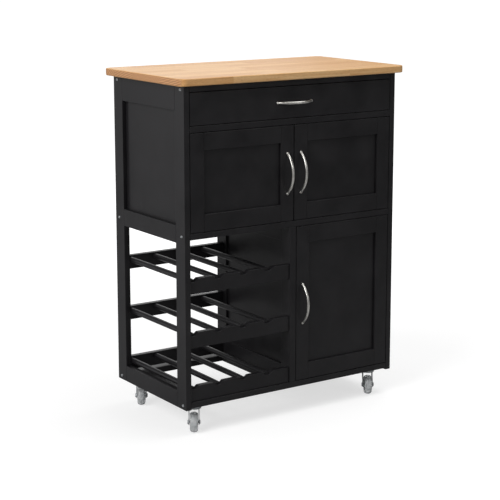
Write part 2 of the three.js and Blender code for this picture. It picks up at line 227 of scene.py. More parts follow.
@dataclass(frozen=True)
class LacqueredRubberwood(Finish):
    """Edge-glued rubberwood under clear satin lacquer: staves of differing tones, pores and dark end grain."""

    stave_width: float = 43.5 * MM
    stave_length: float = 345 * MM
    joint_width: float = 0.5 * MM
    pore_length: float = 7 * MM
    pore_width: float = 0.7 * MM
    streak_length: float = 130 * MM
    streak_width: float = 4.5 * MM

    def dress(self, tree: bpy.types.NodeTree, shader: bpy.types.Node, place: bpy.types.Node) -> None:
        """Builds the finish's nodes.

        Args:
            tree: the material's node tree.
            shader: its Principled BSDF.
            place: its Texture Coordinate node.
        """
        spot = add_node(tree, "ShaderNodeSeparateXYZ", {0: place.outputs["Object"]})
        facing = add_node(tree, "ShaderNodeSeparateXYZ", {0: place.outputs["Normal"]})
        along, across = spot.outputs[0], spot.outputs[1]
        # Each stave has its own number, and each length in it too.
        rows = add_node(tree, "ShaderNodeMath", {0: across, 1: self.stave_width}, operation="DIVIDE")
        row = add_node(tree, "ShaderNodeMath", {0: rows.outputs[0]}, operation="FLOOR")
        start = add_node(tree, "ShaderNodeTexWhiteNoise", {"W": row.outputs[0]}, noise_dimensions="1D")
        run = add_node(tree, "ShaderNodeMath", {0: along, 1: self.stave_length}, operation="DIVIDE")
        shifted = add_node(tree, "ShaderNodeMath", {0: run.outputs[0], 1: start.outputs[0]}, operation="ADD")
        length = add_node(tree, "ShaderNodeMath", {0: shifted.outputs[0]}, operation="FLOOR")
        number = add_node(tree, "ShaderNodeCombineXYZ", {0: row.outputs[0], 1: length.outputs[0], 2: 4.0})
        luck = add_node(tree, "ShaderNodeTexWhiteNoise", {"Vector": number.outputs[0]}, noise_dimensions="3D")
        offset = add_node(tree, "ShaderNodeVectorMath", {0: luck.outputs["Color"], 3: 3.0}, operation="SCALE")
        own = add_node(tree, "ShaderNodeVectorMath", {
            0: place.outputs["Object"], 1: offset.outputs[0]}, operation="ADD")
        # Growth rings cut along the grain give long soft streaks, and the vessels give short dark pores.
        long_way = add_node(tree, "ShaderNodeMapping", {
            "Vector": own.outputs[0],
            "Scale": (1 / self.streak_length, 1 / self.streak_width, 1 / self.streak_width)})
        streaks = add_node(tree, "ShaderNodeTexNoise", {
            "Vector": long_way.outputs[0], "Scale": 1.0, "Detail": 5.0, "Roughness": 0.6, "Distortion": 0.4})
        short_way = add_node(tree, "ShaderNodeMapping", {
            "Vector": own.outputs[0], "Scale": (1 / self.pore_length, 1 / self.pore_width, 1 / self.pore_width)})
        pores = add_node(tree, "ShaderNodeTexNoise", {"Vector": short_way.outputs[0], "Scale": 1.0, "Detail": 1.0})
        pored = add_node(tree, "ShaderNodeMapRange", {0: pores.outputs[0], 1: 0.6, 2: 0.72, 3: 0.0, 4: 0.5})
        light = add_node(tree, "ShaderNodeValToRGB", {0: streaks.outputs[0]}, [
            (0.25, "d59c60"), (0.5, "e9ba80"), (0.8, "f2cb96")]).outputs[0]
        tan = add_node(tree, "ShaderNodeValToRGB", {0: streaks.outputs[0]}, [
            (0.25, "c88c50"), (0.5, "dba569"), (0.8, "e6b67e")]).outputs[0]
        pick = add_node(tree, "ShaderNodeMapRange", {0: luck.outputs["Value"], 1: 0.2, 2: 0.8, 3: 0.0, 4: 1.0})
        tint = add_node(tree, "ShaderNodeMix", {0: pick.outputs[0], 6: light, 7: tan}, data_type="RGBA")
        pored_tint = add_node(tree, "ShaderNodeMix", {
            0: pored.outputs[0], 6: tint.outputs[2], 7: linear("a06c3e")}, data_type="RGBA")
        # Glue lines between the staves, as fine dark lines.
        part = add_node(tree, "ShaderNodeMath", {0: rows.outputs[0]}, operation="FRACT")
        side = add_node(tree, "ShaderNodeMath", {0: part.outputs[0], 1: 0.5}, operation="SUBTRACT")
        side = add_node(tree, "ShaderNodeMath", {0: side.outputs[0]}, operation="ABSOLUTE")
        glue = add_node(tree, "ShaderNodeMapRange", {
            0: side.outputs[0], 1: 0.5 - self.joint_width / self.stave_width, 2: 0.5, 3: 0.0, 4: 0.55})
        glued = add_node(tree, "ShaderNodeMix", {
            0: glue.outputs[0], 6: pored_tint.outputs[2], 7: linear("8f5f36")}, data_type="RGBA")
        # The two ends show end grain, which soaks up lacquer and turns darker, with curved rings and open pores.
        rings = add_node(tree, "ShaderNodeTexWave", {
            "Vector": own.outputs[0], "Scale": 55.0, "Distortion": 3.0, "Detail": 2.0}, wave_type="RINGS")
        dots = add_node(tree, "ShaderNodeTexNoise", {"Vector": own.outputs[0], "Scale": 900.0, "Detail": 1.0})
        speckle = add_node(tree, "ShaderNodeMath", {0: rings.outputs[1], 1: dots.outputs[0]}, operation="MULTIPLY")
        ends = add_node(tree, "ShaderNodeValToRGB", {0: speckle.outputs[0]}, [
            (0.05, "a8774b"), (0.35, "c79263"), (0.8, "d6a678")]).outputs[0]
        ends_glued = add_node(tree, "ShaderNodeMix", {
            0: glue.outputs[0], 6: ends, 7: linear("75492a")}, data_type="RGBA")
        end_side = add_node(tree, "ShaderNodeMath", {0: facing.outputs[0]}, operation="ABSOLUTE")
        at_end = add_node(tree, "ShaderNodeMapRange", {0: end_side.outputs[0], 1: 0.6, 2: 0.85, 3: 0.0, 4: 1.0})
        colour = add_node(tree, "ShaderNodeMix", {
            0: at_end.outputs[0], 6: glued.outputs[2], 7: ends_glued.outputs[2]}, data_type="RGBA")
        gloss = add_node(tree, "ShaderNodeMapRange", {0: streaks.outputs[0], 1: 0.3, 2: 0.7, 3: 0.46, 4: 0.38})
        relief = add_node(tree, "ShaderNodeBump", {
            "Height": pores.outputs[0], "Strength": 0.12, "Distance": 0.15 * MM})
        tree.links.new(colour.outputs[2], shader.inputs["Base Color"])
        tree.links.new(gloss.outputs[0], shader.inputs["Roughness"])
        tree.links.new(relief.outputs[0], shader.inputs["Normal"])
        shader.inputs["IOR"].default_value = 1.5


@dataclass(frozen=True)
class RawPlywood(Finish):
    """Unfinished birch plywood: pale faces with a soft figure, and striped plies on the edges."""

    thickness_axis: Axis = Axis.X
    ply: float = 1.5 * MM
    figure_length: float = 90 * MM
    figure_width: float = 6 * MM

    def dress(self, tree: bpy.types.NodeTree, shader: bpy.types.Node, place: bpy.types.Node) -> None:
        """Builds the finish's nodes.

        Args:
            tree: the material's node tree.
            shader: its Principled BSDF.
            place: its Texture Coordinate node.
        """
        spot = add_node(tree, "ShaderNodeSeparateXYZ", {0: place.outputs["Object"]})
        facing = add_node(tree, "ShaderNodeSeparateXYZ", {0: place.outputs["Normal"]})
        scale = [1 / self.figure_length] * 3
        scale[Axis.Z.value if self.thickness_axis != Axis.Z else Axis.Y.value] = 1 / self.figure_width
        stretch = add_node(tree, "ShaderNodeMapping", {"Vector": place.outputs["Object"], "Scale": tuple(scale)})
        figure = add_node(tree, "ShaderNodeTexNoise", {"Vector": stretch.outputs[0], "Scale": 1.0, "Detail": 5.0})
        face = add_node(tree, "ShaderNodeValToRGB", {0: figure.outputs[0]}, [
            (0.3, "cdb087"), (0.55, "dcc39b"), (0.8, "e6d2ae")]).outputs[0]
        layers = add_node(tree, "ShaderNodeMath", {
            0: spot.outputs[self.thickness_axis.value], 1: math.pi / self.ply}, operation="MULTIPLY")
        stripes = add_node(tree, "ShaderNodeMath", {0: layers.outputs[0]}, operation="SINE")
        edge = add_node(tree, "ShaderNodeValToRGB", {0: stripes.outputs[0]}, [
            (0.3, "a9824f"), (0.7, "d9bd92")]).outputs[0]
        broad = add_node(tree, "ShaderNodeMath", {
            0: facing.outputs[self.thickness_axis.value]}, operation="ABSOLUTE")
        colour = add_node(tree, "ShaderNodeMix", {0: broad.outputs[0], 6: edge, 7: face}, data_type="RGBA")
        relief = add_node(tree, "ShaderNodeBump", {
            "Height": figure.outputs[0], "Strength": 0.15, "Distance": 0.2 * MM})
        tree.links.new(colour.outputs[2], shader.inputs["Base Color"])
        tree.links.new(relief.outputs[0], shader.inputs["Normal"])
        shader.inputs["Roughness"].default_value = 0.62


@dataclass(frozen=True)
class FacedHardboard(Finish):
    """Thin hardboard with a printed black face: duller than the paint, with a felted fibre texture."""

    colour: str = "201f20"
    fibre: float = 3 * MM

    def dress(self, tree: bpy.types.NodeTree, shader: bpy.types.Node, place: bpy.types.Node) -> None:
        """Builds the finish's nodes.

        Args:
            tree: the material's node tree.
            shader: its Principled BSDF.
            place: its Texture Coordinate node.
        """
        fibres = add_node(tree, "ShaderNodeTexNoise", {
            "Vector": place.outputs["Object"], "Scale": 1 / self.fibre, "Detail": 6.0, "Distortion": 1.2})
        tone = add_node(tree, "ShaderNodeValToRGB", {0: fibres.outputs[0]}, [
            (0.3, "1b1a1b"), (0.7, self.colour)]).outputs[0]
        relief = add_node(tree, "ShaderNodeBump", {
            "Height": fibres.outputs[0], "Strength": 0.12, "Distance": 0.3 * MM})
        tree.links.new(tone, shader.inputs["Base Color"])
        tree.links.new(relief.outputs[0], shader.inputs["Normal"])
        shader.inputs["Roughness"].default_value = 0.55


@dataclass(frozen=True)
class PlatedMetal(Finish):
    """Plated steel or zinc alloy: a metal whose plating and polish set its tone and the width of its highlights."""

    dark: str = "9c9a96"
    bright: str = "c9c7c2"
    roughness: float = 0.26
    spread: float = 0.08
    brushing: float = 0.5 * MM
    brush_length: float = 12 * MM

    def dress(self, tree: bpy.types.NodeTree, shader: bpy.types.Node, place: bpy.types.Node) -> None:
        """Builds the finish's nodes.

        Args:
            tree: the material's node tree.
            shader: its Principled BSDF.
            place: its Texture Coordinate node.
        """
        stretch = add_node(tree, "ShaderNodeMapping", {
            "Vector": place.outputs["Object"],
            "Scale": (1 / self.brush_length, 1 / self.brushing, 1 / self.brush_length)})
        marks = add_node(tree, "ShaderNodeTexNoise", {"Vector": stretch.outputs[0], "Scale": 1.0, "Detail": 3.0})
        tone = add_node(tree, "ShaderNodeValToRGB", {0: marks.outputs[0]}, [
            (0.3, self.dark), (0.7, self.bright)]).outputs[0]
        gloss = add_node(tree, "ShaderNodeMapRange", {
            0: marks.outputs[0], 1: 0.3, 2: 0.7, 3: self.roughness, 4: self.roughness + self.spread})
        relief = add_node(tree, "ShaderNodeBump", {
            "Height": marks.outputs[0], "Strength": 0.06, "Distance": 0.1 * MM})
        tree.links.new(tone, shader.inputs["Base Color"])
        tree.links.new(gloss.outputs[0], shader.inputs["Roughness"])
        tree.links.new(relief.outputs[0], shader.inputs["Normal"])
        shader.inputs["Metallic"].default_value = 1.0


@dataclass(frozen=True)
class MouldedPlastic(Finish):
    """Moulded plastic: smooth, with a faint flow cloud; a clear grade lets some light through."""

    dark: str = "85888a"
    light: str = "a9acad"
    roughness: float = 0.24
    clearness: float = 0.45
    cloud: float = 9 * MM

    def dress(self, tree: bpy.types.NodeTree, shader: bpy.types.Node, place: bpy.types.Node) -> None:
        """Builds the finish's nodes.

        Args:
            tree: the material's node tree.
            shader: its Principled BSDF.
            place: its Texture Coordinate node.
        """
        flow = add_node(tree, "ShaderNodeTexNoise", {
            "Vector": place.outputs["Object"], "Scale": 1 / self.cloud, "Detail": 2.0})
        tone = add_node(tree, "ShaderNodeValToRGB", {0: flow.outputs[0]}, [
            (0.3, self.dark), (0.7, self.light)]).outputs[0]
        relief = add_node(tree, "ShaderNodeBump", {
            "Height": flow.outputs[0], "Strength": 0.04, "Distance": 0.3 * MM})
        tree.links.new(tone, shader.inputs["Base Color"])
        tree.links.new(relief.outputs[0], shader.inputs["Normal"])
        shader.inputs["Roughness"].default_value = self.roughness
        shader.inputs["IOR"].default_value = 1.49
        shader.inputs["Transmission Weight"].default_value = self.clearness


PAINT = SprayedPaint("black_satin_lacquer_sprayed", Slot.BLACK_PAINT)
TOP_WOOD = LacqueredRubberwood("rubberwood_edge_glued_lacquered", Slot.WORKTOP_WOOD)
HARDBOARD = FacedHardboard("hardboard_black_faced", Slot.BLACK_PAINT)
NICKEL = PlatedMetal("zinc_alloy_satin_nickel_plated", Slot.SATIN_NICKEL, dark="bcbab5", bright="e4e2dd",
                     roughness=0.3)
ZINC = PlatedMetal("steel_bright_zinc_plated", Slot.ZINC_STEEL, dark="a2a6a9", bright="d4d7d9", roughness=0.3,
                   spread=0.14, brushing=6 * MM, brush_length=8 * MM)
WHEEL_CLEAR = MouldedPlastic("polyurethane_clear_grey_moulded", Slot.WHEEL_PLASTIC, dark="dcdfe0", light="f2f3f4",
                             roughness=0.2, clearness=0.6)
HUB_GREY = MouldedPlastic("polypropylene_grey_hub_moulded", Slot.WHEEL_PLASTIC, dark="b9bcbe", light="d2d4d5",
                          roughness=0.3, clearness=0.45)
PLY_SIDES = RawPlywood("birch_plywood_raw_sides", Slot.DRAWER_BIRCH, Axis.X)
PLY_BACK = RawPlywood("birch_plywood_raw_back", Slot.DRAWER_BIRCH, Axis.Y)
PLY_BOTTOM = RawPlywood("birch_plywood_raw_bottom", Slot.DRAWER_BIRCH, Axis.Z)


# ---- Mesh building ----
def rectangle(low: Flat, high: Flat, notches: Notches = PLAIN) -> list[Flat]:
    """Outlines a rectangle, with a notch at each named corner.

    Args:
        low: its lowest corner.
        high: its highest corner.
        notches: for a corner's two signs, the notch's size.

    Returns:
        The outline's points, counter-clockwise.
    """
    points: list[Flat] = []
    for su, sv in ((-1, -1), (1, -1), (1, 1), (-1, 1)):
        u, v = (high[0] if su > 0 else low[0]), (high[1] if sv > 0 else low[1])
        if (su, sv) not in notches:
            points.append((u, v))
            continue
        du, dv = notches[su, sv]
        corner = [(u, v - sv * dv), (u - su * du, v - sv * dv), (u - su * du, v)]
        points += corner if su * sv > 0 else corner[::-1]
    return points


def rounded(low: Flat, high: Flat, radius: float, steps: int = 8) -> list[Flat]:
    """Outlines a rectangle with round corners.

    Args:
        low: its lowest corner.
        high: its highest corner.
        radius: the corners' radius.
        steps: how many edges each corner has.

    Returns:
        The outline's points, counter-clockwise.
    """
    points: list[Flat] = []
    for quarter, (su, sv) in enumerate(((-1, -1), (1, -1), (1, 1), (-1, 1))):
        centre = ((high[0] if su > 0 else low[0]) - su * radius, (high[1] if sv > 0 else low[1]) - sv * radius)
        for step in range(steps + 1):
            angle = math.pi * (1 + quarter / 2 + step / steps / 2)
            points.append((centre[0] + radius * math.cos(angle), centre[1] + radius * math.sin(angle)))
    return points


def prism(mesh: bmesh.types.BMesh, outline: Sequence[Flat], axis: Axis, start: float, end: float,
          ease: float = 1.0 * MM, segments: int = 3) -> None:
    """Adds a bar of constant section with its outer edges eased.

    Args:
        mesh: the mesh that gets it.
        outline: the section, in the two directions other than axis, in order.
        axis: the bar's direction.
        start: where it starts on the axis.
        end: where it ends.
        ease: the rounding of its edges.
        segments: how many steps the rounding has.
    """
    part = bmesh.new()
    rings = []
    for place in (start, end):
        ring = []
        for u, v in outline:
            point = [u, v]
            point.insert(axis.value, place)
            ring.append(part.verts.new(point))
        rings.append(ring)
    part.faces.new(rings[0])
    part.faces.new(rings[1])
    for i in range(len(outline)):
        j = (i + 1) % len(outline)
        part.faces.new((rings[0][i], rings[0][j], rings[1][j], rings[1][i]))
    bmesh.ops.recalc_face_normals(part, faces=part.faces)
    if ease:
        sharp = [e for e in part.edges if e.is_convex and e.calc_face_angle(0) > math.radians(30)]
        bmesh.ops.bevel(part, geom=sharp, offset=ease, segments=segments, profile=0.5, affect="EDGES",
                        clamp_overlap=True)
    append(mesh, part)


def append(mesh: bmesh.types.BMesh, part: bmesh.types.BMesh, place: Matrix | None = None) -> None:
    """Adds one mesh to another and frees it.

    Args:
        mesh: the mesh that grows.
        part: the mesh that is added.
        place: where it goes, if it isn't in place already.
    """
    if place is not None:
        part.transform(place)
    loose = bpy.data.meshes.new("loose")
    part.to_mesh(loose)
    part.free()
    mesh.from_mesh(loose)
    bpy.data.meshes.remove(loose)


def turned(mesh: bmesh.types.BMesh, profile: Sequence[Flat], place: Matrix, steps: int = 48) -> None:
    """Adds a turned shape, closed on its axis.

    Args:
        mesh: the mesh that gets it.
        profile: radius and height of each point; a closed shape starts and ends at radius 0, or is a closed ring.
        place: where the axis's origin and +Z go.
        steps: how many faces go around.
    """
    part = bmesh.new()
    closed_ring = profile[0][0] > 0
    rings: list[list[bmesh.types.BMVert]] = []
    for radius, height in profile:
        if radius == 0:
            rings.append([part.verts.new((0, 0, height))] * steps)
            continue
        rings.append([part.verts.new((radius * math.cos(math.tau * k / steps),
                                      radius * math.sin(math.tau * k / steps), height)) for k in range(steps)])
    pairs = list(zip(rings, rings[1:]))
    if closed_ring:
        pairs.append((rings[-1], rings[0]))
    for below, above in pairs:
        for k in range(steps):
            n = (k + 1) % steps
            corners = [below[k], below[n], above[n], above[k]]
            part.faces.new(list(dict.fromkeys(corners)))
    bmesh.ops.recalc_face_normals(part, faces=part.faces)
    append(mesh, part, place)


def swept(mesh: bmesh.types.BMesh, path: Sequence[Vector], radii: Sequence[Flat], side: Vector,
          steps: int = 20) -> None:
    """Adds a rod with an oval section that follows a flat path, with closed ends.

    Args:
        mesh: the mesh that gets it.
        path: the rod's centre line.
        radii: at each point, the half width along side and the half height in the path's plane.
        side: the direction at right angles to the path's plane.
        steps: how many faces go around.
    """
    part = bmesh.new()
    rings = []
    for i, (centre, (wide, high)) in enumerate(zip(path, radii)):
        forward = (path[min(i + 1, len(path) - 1)] - path[max(i - 1, 0)]).normalized()
        upward = forward.cross(side).normalized()
        rings.append([part.verts.new(centre + side * wide * math.cos(math.tau * k / steps)
                                     + upward * high * math.sin(math.tau * k / steps)) for k in range(steps)])
    for below, above in zip(rings, rings[1:]):
        for k in range(steps):
            n = (k + 1) % steps
            part.faces.new((below[k], below[n], above[n], above[k]))
    part.faces.new(rings[0])
    part.faces.new(rings[-1])
    bmesh.ops.recalc_face_normals(part, faces=part.faces)
    append(mesh, part)


def facing(place: Vector, direction: Vector) -> Matrix:
    """Turns +Z to a direction, and puts the origin at a place.

    Args:
        place: where the origin goes.
        direction: where +Z points.

    Returns:
        The matrix that does both.
    """
    return Matrix.Translation(place) @ direction.to_track_quat("Z", "Y").to_matrix().to_4x4()


def rides(piece: bpy.types.Object, body: str, stands_for: Iterable[str] = ()) -> bpy.types.Object:
    """Fixes a finished piece to its body.

    Args:
        piece: the finished piece.
        body: the body that it moves with.
        stands_for: the CAD nodes that it replaces.

    Returns:
        The piece.
    """
    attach(piece, str(body.value if isinstance(body, Enum) else body))
    nodes = list(stands_for)
    if nodes:
        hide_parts(*nodes)
    log.info("%s rides on %s, %d faces", piece.name, body, len(piece.data.polygons))
    return piece


def finished(name: str, mesh: bmesh.types.BMesh, finish: Finish, body: str, stands_for: Iterable[str] = (),
             smooth: float = 35.0) -> bpy.types.Object:
    """Turns a mesh into a dressed piece that rides on a body.

    Args:
        name: the piece's name.
        mesh: its mesh, in place; it is freed.
        finish: its finish.
        body: the body that it moves with.
        stands_for: the CAD nodes that it replaces.
        smooth: the angle in degrees up to which neighbouring faces shade as one.

    Returns:
        The piece.
    """
    data = bpy.data.meshes.new(name)
    mesh.to_mesh(data)
    mesh.free()
    data.materials.append(finish.material())
    data.shade_smooth()
    data.set_sharp_from_angle(angle=math.radians(smooth))
    piece = bpy.data.objects.new(name, data)
    bpy.context.scene.collection.objects.link(piece)
    flat_faces = piece.modifiers.new("flat_faces", "WEIGHTED_NORMAL")
    flat_faces.keep_sharp = True
    flat_faces.weight = 100
    return rides(piece, body, stands_for)


def board(node: str, finish: Finish, body: str, ease: float = 1.0 * MM,
          name: str | None = None) -> bpy.types.Object:
    """Makes an eased board in the place of a plain CAD board.

    Args:
        node: the CAD node whose box it fills.
        finish: its finish.
        body: the body that it moves with.
        ease: the rounding of its edges.
        name: the piece's name, if it isn't the node's with "_board" after it.

    Returns:
        The piece.
    """
    low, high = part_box(node)
    mesh = bmesh.new()
    prism(mesh, rectangle(low.xy, high.xy), Axis.Z, low.z, high.z, ease)
    return finished(name or f"{node}_board", mesh, finish, body, [node])


# ---- Fasteners ----
@dataclass(frozen=True)
class Fasteners:
    """A set of like bolt or screw heads, placed by one Geometry Nodes tree."""

    head_radius: float
    head_height: float
    drive_radius: float = 1.6 * MM
    crown: float = 0.74
    finish: Finish = ZINC

    def tree(self) -> bpy.types.NodeTree:
        """Returns the tree that sets a head on every point, turned to the point's own direction."""
        tree = bpy.data.node_groups.new("fastener_heads", "GeometryNodeTree")
        for label, kind in (("Points", "NodeSocketGeometry"), ("Head Radius", "NodeSocketFloat"),
                            ("Head Height", "NodeSocketFloat"), ("Crown", "NodeSocketFloat"),
                            ("Drive Radius", "NodeSocketFloat"), ("Finish", "NodeSocketMaterial")):
            tree.interface.new_socket(label, in_out="INPUT", socket_type=kind)
        tree.interface.new_socket("Heads", in_out="OUTPUT", socket_type="NodeSocketGeometry")
        given = add_node(tree, "NodeGroupInput").outputs
        disc = add_node(tree, "GeometryNodeMeshCylinder", {
            "Vertices": 18, "Radius": given["Head Radius"], "Depth": given["Head Height"]}, fill_type="NGON")
        crowned = add_node(tree, "GeometryNodeScaleElements", {
            0: disc.outputs["Mesh"], 1: disc.outputs["Top"], "Scale": given["Crown"]}, domain="FACE")
        rim = add_node(tree, "GeometryNodeExtrudeMesh", {
            0: crowned.outputs[0], 1: disc.outputs["Top"], "Offset Scale": 0.0, "Individual": True}, mode="FACES")
        crown_radius = add_node(tree, "ShaderNodeMath", {
            0: given["Head Radius"], 1: given["Crown"]}, operation="MULTIPLY")
        share = add_node(tree, "ShaderNodeMath", {
            0: given["Drive Radius"], 1: crown_radius.outputs[0]}, operation="DIVIDE")
        mouth = add_node(tree, "GeometryNodeScaleElements", {
            0: rim.outputs[0], 1: rim.outputs["Top"], "Scale": share.outputs[0]}, domain="FACE")
        depth = add_node(tree, "ShaderNodeMath", {0: given["Head Height"], 1: -0.6}, operation="MULTIPLY")
        sunk = add_node(tree, "GeometryNodeExtrudeMesh", {
            0: mouth.outputs[0], 1: rim.outputs["Top"], "Offset Scale": depth.outputs[0], "Individual": True},
            mode="FACES")
        half = add_node(tree, "ShaderNodeMath", {0: given["Head Height"], 1: 0.5}, operation="MULTIPLY")
        lift = add_node(tree, "ShaderNodeCombineXYZ", {2: half.outputs[0]})
        seated = add_node(tree, "GeometryNodeTransform", {0: sunk.outputs[0], "Translation": lift.outputs[0]})
        pointing = add_node(tree, "GeometryNodeInputNamedAttribute", {0: "facing"}, data_type="FLOAT_VECTOR")
        turn = add_node(tree, "FunctionNodeAlignRotationToVector", {"Vector": pointing.outputs[0]}, axis="Z")
        placed = add_node(tree, "GeometryNodeInstanceOnPoints", {
            "Points": given["Points"], "Instance": seated.outputs[0], "Rotation": turn.outputs[0]})
        real = add_node(tree, "GeometryNodeRealizeInstances", {0: placed.outputs[0]})
        dressed = add_node(tree, "GeometryNodeSetMaterial", {0: real.outputs[0], "Material": given["Finish"]})
        add_node(tree, "NodeGroupOutput", {0: dressed.outputs[0]})
        return tree

    def place(self, name: str, body: str, spots: Sequence[tuple[Point, Point]]) -> bpy.types.Object:
        """Sets a head on each spot.

        Args:
            name: the piece's name.
            body: the body that it moves with.
            spots: each head's seat and the direction that it faces.

        Returns:
            The piece.
        """
        seats = bpy.data.meshes.new(f"{name}_seats")
        seats.from_pydata([seat for seat, _ in spots], [], [])
        towards = seats.attributes.new("facing", "FLOAT_VECTOR", "POINT")
        towards.data.foreach_set("vector", [value for _, way in spots for value in way])
        return baked(name, seats, self.tree(), {
            "Head Radius": self.head_radius, "Head Height": self.head_height, "Crown": self.crown,
            "Drive Radius": self.drive_radius, "Finish": self.finish.material()}, body)


def baked(name: str, seed: bpy.types.Mesh, tree: bpy.types.NodeTree, values: dict[str, object], body: str,
          stands_for: Iterable[str] = (), smooth: float = 35.0) -> bpy.types.Object:
    """Runs a Geometry Nodes tree and keeps the result as a plain piece.

    Args:
        name: the piece's name.
        seed: the mesh that the tree starts from.
        tree: the tree.
        values: the values of its named inputs.
        body: the body that the piece moves with.
        stands_for: the CAD nodes that it replaces.
        smooth: the angle in degrees up to which neighbouring faces shade as one.

    Returns:
        The piece.
    """
    piece = bpy.data.objects.new(name, seed)
    bpy.context.scene.collection.objects.link(piece)
    modifier = piece.modifiers.new("repeats", "NODES")
    modifier.node_group = tree
    sockets = {item.name: item.identifier for item in tree.interface.items_tree if item.in_out == "INPUT"}
    for label, value in values.items():
        modifier[sockets[label]] = value
    evaluated = piece.evaluated_get(bpy.context.evaluated_depsgraph_get())
    data = bpy.data.meshes.new_from_object(evaluated)
    piece.modifiers.remove(modifier)
    piece.data = data
    data.name = name
    data.shade_smooth()
    data.set_sharp_from_angle(angle=math.radians(smooth))
    bpy.data.meshes.remove(seed)
    return rides(piece, body, stands_for)


BOLTS = Fasteners(head_radius=3.7 * MM, head_height=1.8 * MM, drive_radius=1.3 * MM)
SCREWS = Fasteners(head_radius=3.6 * MM, head_height=1.6 * MM)
SMALL_SCREWS = Fasteners(head_radius=2.6 * MM, head_height=1.2 * MM, drive_radius=1.1 * MM)


# ---- The cabinet ----
@dataclass
class Worktop:
    """The edge-glued wood slab with round corners and eased edges."""

    corner_radius: float = 20 * MM
    ease: float = 3 * MM
    ease_steps: int = 4

    def build(self) -> None:
        """Builds and dresses the slab."""
        low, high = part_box("tabletop")
        mesh = bmesh.new()
        prism(mesh, rounded(low.xy, high.xy, self.corner_radius), Axis.Z, low.z, high.z,
              self.ease, self.ease_steps)
        finished("worktop_slab", mesh, TOP_WOOD, Body.CABINET, ["tabletop"])


@dataclass
class SideFrame:
    """One side of the cabinet: two posts, three rails, thin panels in a rebate and the boards' bolts."""

    side: Side
    open_below: bool
    post_depth: float = 42 * MM
    top_rail: float = 60 * MM
    mid_rail: Flat = (407 * MM, 450 * MM)
    bottom_rail: float = 41 * MM
    lip: float = 10 * MM
    rebate: float = 6 * MM
    bolt_levels: tuple[float, ...] = (10.5 * MM, 426 * MM, 774 * MM)
    bolt_insets: Flat = (15 * MM, 18 * MM)

    def build(self) -> None:
        """Builds the frame, its panel and its bolts."""
        word, s = self.side.name.lower(), self.side.value
        low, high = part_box(f"{word}_side_frame")
        deep = high.x - low.x - self.lip
        outer, inner = (low.x, high.x) if s < 0 else (high.x, low.x)
        behind = sorted((inner, inner + s * deep))
        window = (low.y + self.post_depth, high.y - self.post_depth)
        mid = (low.z + self.mid_rail[0], low.z + self.mid_rail[1])
        panel_low = mid[1] if self.open_below else low.z + self.bottom_rail
        panel_top = high.z - self.top_rail
        mesh = bmesh.new()
        for start, end, sv in ((low.y, window[0], 1), (window[1], high.y, -1)):
            section = rectangle((low.x, start), (high.x, end), {(-s, sv): (deep, self.rebate)})
            prism(mesh, section, Axis.Z, low.z, high.z)
            # Above and below the panel the post's rebate is filled again.
            groove = sorted((end, end - self.rebate)) if sv > 0 else sorted((start, start + self.rebate))
            for bottom, top in ((low.z, panel_low - self.rebate), (panel_top + self.rebate, high.z)):
                prism(mesh, rectangle((behind[0], groove[0]), (behind[1], groove[1])), Axis.Z, bottom, top, 0)
        top_section = rectangle((low.x, panel_top), (high.x, high.z), {(-s, -1): (deep, self.rebate)})
        if self.open_below:
            mid_section = rectangle((low.x, mid[0]), (high.x, mid[1]), {(-s, 1): (deep, self.rebate)})
            low_section = rectangle((low.x, low.z), (high.x, low.z + self.bottom_rail))
        else:
            lip = sorted((outer, outer - s * self.lip))
            mid_section = rectangle((lip[0], mid[0]), (lip[1], mid[1]))
            low_section = rectangle(
                (low.x, low.z), (high.x, low.z + self.bottom_rail), {(-s, 1): (deep, self.rebate)})
        for section in (top_section, mid_section, low_section):
            prism(mesh, section, Axis.Y, *window)
        finished(f"{word}_posts_and_rails", mesh, PAINT, Body.CABINET, [f"{word}_side_frame"])
        board(f"{word}_side_panel", PAINT, Body.CABINET, SHEET_EASE)
        places = (low.y + self.bolt_insets[0], high.y - self.bolt_insets[1])
        BOLTS.place(f"{word}_post_bolts", Body.CABINET, [
            ((outer, y, low.z + level), (s, 0, 0)) for y in places for level in self.bolt_levels])


@dataclass
class Carcass:
    """The boards between the side frames, the back panels and the screws under the worktop."""

    boards: tuple[str, ...] = ("top_board", "drawer_rail", "mid_shelf", "bottom_front_rail", "bottom_back_rail",
                               "bottom_left_batten", "bottom_board")
    back_panels: tuple[str, ...] = ("upper_back_panel", "lower_back_panel")
    screw_inset: Flat = (60 * MM, 40 * MM)

    def build(self) -> None:
        """Builds the boards, the panels and the screws."""
        for node in self.boards:
            board(node, PAINT, Body.CABINET)
        for node in self.back_panels:
            board(node, HARDBOARD, Body.CABINET, SHEET_EASE)
        low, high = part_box("top_board")
        xs = (low.x + self.screw_inset[0], 0.0, high.x - self.screw_inset[0])
        ys = (low.y + self.screw_inset[1], high.y - self.screw_inset[1])
        SCREWS.place("worktop_screws", Body.CABINET, [((x, y, low.z), (0, 0, -1)) for x in xs for y in ys])
        for node in self.back_panels:
            self.pin(node)

    def pin(self, node: str, pitch: float = 120 * MM, inset: float = 8 * MM) -> None:
        """Sets a row of screws around a back panel's edge.

        Args:
            node: the panel.
            pitch: about how far apart the screws are.
            inset: how far they are from the edge.
        """
        low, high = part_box(node)
        spots: list[tuple[Point, Point]] = []
        columns = max(2, round((high.x - low.x) / pitch) + 1)
        for i in range(columns):
            x = low.x + inset + (high.x - low.x - 2 * inset) * i / (columns - 1)
            spots += [((x, high.y, z), (0, 1, 0)) for z in (low.z + inset, high.z - inset)]
        SMALL_SCREWS.place(f"{node}_screws", Body.CABINET, spots)


